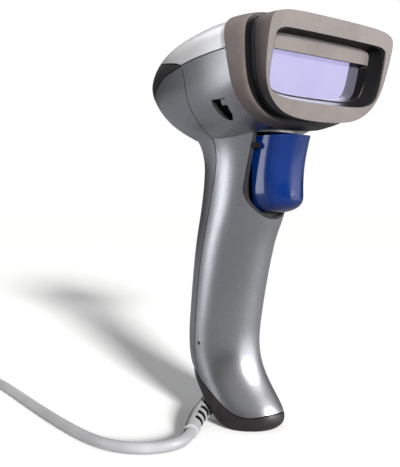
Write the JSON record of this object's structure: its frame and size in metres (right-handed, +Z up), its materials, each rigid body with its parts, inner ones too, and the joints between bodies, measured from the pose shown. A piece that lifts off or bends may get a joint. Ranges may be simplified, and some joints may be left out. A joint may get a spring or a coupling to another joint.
{
  "type": "handheld barcode scanner",
  "caption": "Gun-shaped handheld barcode scanner with a rubber nose, a coated scan window, a finger trigger, a rubber foot and a coiled cord with a plug.",
  "frame": {"origin": "on the flat sole under the toe of the handle, in the middle plane", "axes": "+Z up, -Y towards the nose and the scan window, +X to the left hand of someone who looks at the window"},
  "size_m": [0.1385, 0.2419, 0.1641],
  "materials": {
    "silver": "metallic silver paint",
    "cover_silver": "light silver paint",
    "bumper_rubber": "matte brown-grey rubber",
    "boot_rubber": "matte dark rubber",
    "black_plastic": "fine textured black",
    "frame_plastic": "matte brown-grey",
    "gasket_rubber": "matte black",
    "window_coated": "clear, lilac anti-reflection coating",
    "smoked_lens": "smoked, polished",
    "trigger_blue": "glossy cobalt blue",
    "grey_plastic": "light grey satin",
    "cord_grey": "light grey vinyl",
    "steel": "bright steel",
    "lens_glass": "coated",
    "lamp_clear": "clear red tint",
    "circuit_green": "solder mask",
    "chip_black": "moulded",
    "ribbon_amber": "polyimide film"
  },
  "bodies": {
    "housing": {"board_chips": "chip_black", "board_screws": "steel", "coil_tie": "black_plastic", "connector_shell": "grey_plastic", "cord": "cord_grey", "cord_coil": "cord_grey", "cord_jack": "black_plastic", "cord_tail": "cord_grey", "engine_aimer": "lens_glass", "engine_body": "black_plastic", "engine_bracket": "steel", "engine_lamps": "lamp_clear", "engine_lens": "lens_glass", "engine_screws": "steel", "foot_boot": "boot_rubber", "front_housing": "silver", "handle_board": "circuit_green", "housing_screws": "steel", "main_board": "circuit_green", "modular_plug": "lens_glass", "nose_bumper": "bumper_rubber", "plug_grip": "cord_grey", "plug_relief": "cord_grey", "plug_shell": "steel", "plug_tongue": "chip_black", "rear_housing": "silver", "rear_lens": "smoked_lens", "ribbon_cable": "ribbon_amber", "scan_bezel": "black_plastic", "scan_window": "window_coated", "slot_tab_left": "silver", "slot_tab_right": "silver", "sounder": "steel", "sounder_grille_left": "black_plastic", "sounder_grille_right": "black_plastic", "strain_relief": "cord_grey", "switch_board": "circuit_green", "top_cover": "cover_silver", "trigger_pin": "steel", "trigger_surround": "black_plastic", "trigger_switch": "chip_black", "window_frame": "frame_plastic", "window_gasket": "gasket_rubber"},
    "trigger": {"trigger": "trigger_blue", "trigger_spring": "steel"},
    "plunger": {"switch_plunger": "chip_black"}
  },
  "joints": [
    {"name": "trigger_pull", "type": "hinge", "parent": "housing", "child": "trigger", "pos_m": [0, -0.006, 0.1145], "axis": [1, 0, 0], "range_deg": [0, 5], "stiffness_Nm_per_rad": 0.3, "springref_deg": -4.58},
    {"name": "plunger_press", "type": "slide", "parent": "housing", "child": "plunger", "axis": [0, 1, 0], "range_m": [0, 0.0016]}
  ],
  "couplings": [
    {"joint": "plunger_press", "follows": "trigger_pull", "m_per_rad": 0.0165}
  ]
}
